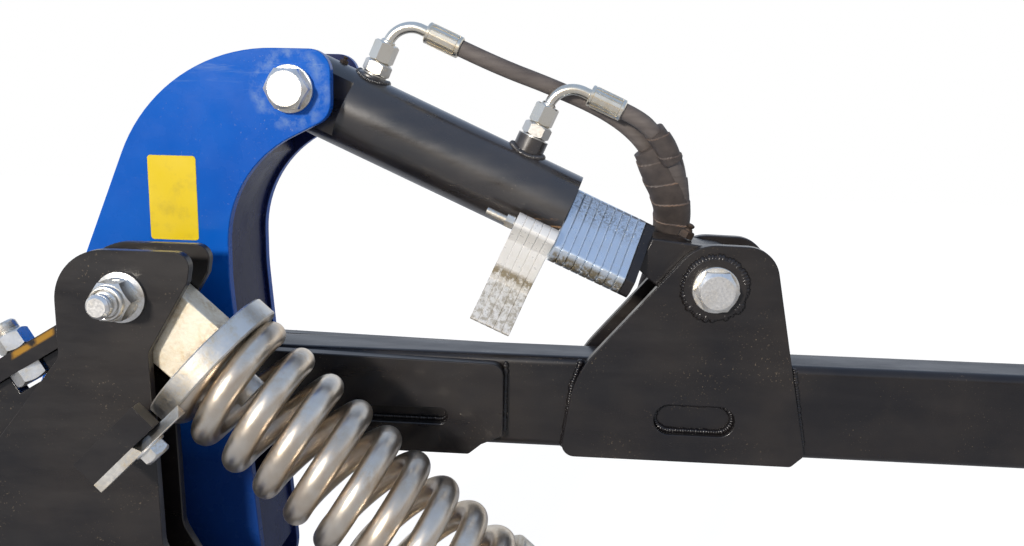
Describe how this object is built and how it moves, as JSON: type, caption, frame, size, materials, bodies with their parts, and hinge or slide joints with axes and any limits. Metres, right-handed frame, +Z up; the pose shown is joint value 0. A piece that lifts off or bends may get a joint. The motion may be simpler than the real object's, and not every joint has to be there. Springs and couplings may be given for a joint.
{
  "type": "hydraulic depth-stop linkage and sprung tine holder of a stubble cultivator",
  "caption": "Swan-neck mast on a square frame tube with a roller arm set by a hydraulic cylinder and swing-in stop clips, beside a coil-spring tine holder.",
  "frame": {"origin": "centre of the outer face of the frame tube's far flange", "axes": "+X back along the roller arm, +Y out of the far flange, +Z up"},
  "size_m": [1.2244, 0.425, 0.891],
  "materials": {
    "blue_paint": "gloss, worn and chipped at edges",
    "black_paint": "gloss with dust and light rust at welds",
    "zinc_plate": "bright zinc plate with brownish stains",
    "bright_steel": "bright",
    "hard_chrome": "polished",
    "clip_aluminium": "bright extruded",
    "hose_rubber": "matte, weathered"
  },
  "bodies": {
    "frame": {"frame_tube": "blue_paint", "frame_flange_far": "blue_paint", "frame_flange_near": "blue_paint", "mast_plate_far": "blue_paint", "mast_plate_near": "blue_paint", "mast_web_throat": "blue_paint", "mast_web_foot": "blue_paint", "mast_web_back": "blue_paint", "mast_top_bolt": "zinc_plate", "mast_top_nut": "zinc_plate", "top_spacers": "zinc_plate", "arm_pivot_bolt": "zinc_plate", "arm_pivot_nut": "zinc_plate", "holder_plate_far": "black_paint", "holder_plate_near": "black_paint", "hanger_bolt": "zinc_plate", "hanger_nut": "zinc_plate", "spring_hanger": "zinc_plate", "spring_seat": "zinc_plate", "spring_guide": "zinc_plate", "coil_spring": "bright_steel", "lower_seat": "zinc_plate", "tine_lever": "black_paint", "lever_bolt": "zinc_plate", "lever_nut": "zinc_plate", "strap_stub": "black_paint", "guard_strap": "zinc_plate", "strap_bolt": "zinc_plate", "front_stop": "black_paint", "front_web": "black_paint", "front_bolt": "zinc_plate", "front_nut": "zinc_plate"},
    "arm": {"arm_tube": "black_paint", "arm_fishplate_far": "black_paint", "arm_fishplate_near": "black_paint", "arm_bush": "bright_steel", "arm_bracket_far": "black_paint", "arm_bracket_near": "black_paint", "bracket_collars": "black_paint", "rod_bolt": "zinc_plate", "rod_nut": "zinc_plate", "arm_end_flange": "black_paint"},
    "barrel": {"cylinder_base": "black_paint", "cylinder_barrel": "black_paint", "cylinder_gland": "black_paint", "adapter_base": "zinc_plate", "adapter_rod": "zinc_plate", "hose_end_base": "zinc_plate", "hose_end_rod": "zinc_plate", "hose_base": "hose_rubber", "hose_rod": "hose_rubber", "coupling_base": "zinc_plate", "coupling_rod": "zinc_plate"},
    "rod": {"piston_rod": "hard_chrome", "rod_eye": "black_paint", "stop_plate": "black_paint", "clip_carrier": "zinc_plate", "stop_clips": "clip_aluminium", "spare_clips": "clip_aluminium"}
  },
  "joints": [
    {"name": "arm_hinge", "type": "hinge", "parent": "frame", "child": "arm", "pos_m": [0.045, -0.174, 0.268], "axis": [0, 1, 0], "range_deg": [0, 12]},
    {"name": "barrel_hinge", "type": "hinge", "parent": "frame", "child": "barrel", "pos_m": [0.184, -0.174, 0.6025], "axis": [0, 1, 0], "range_deg": [0, 11.18]},
    {"name": "rod_slide", "type": "slide", "parent": "barrel", "child": "rod", "axis": [0.9148, 0, -0.4038], "range_m": [0, 0.0759]}
  ],
  "couplings": [
    {"joint": "barrel_hinge", "follows": "arm_hinge", "ratio": 0.9277},
    {"joint": "rod_slide", "follows": "arm_hinge", "m_per_rad": 0.3612}
  ]
}
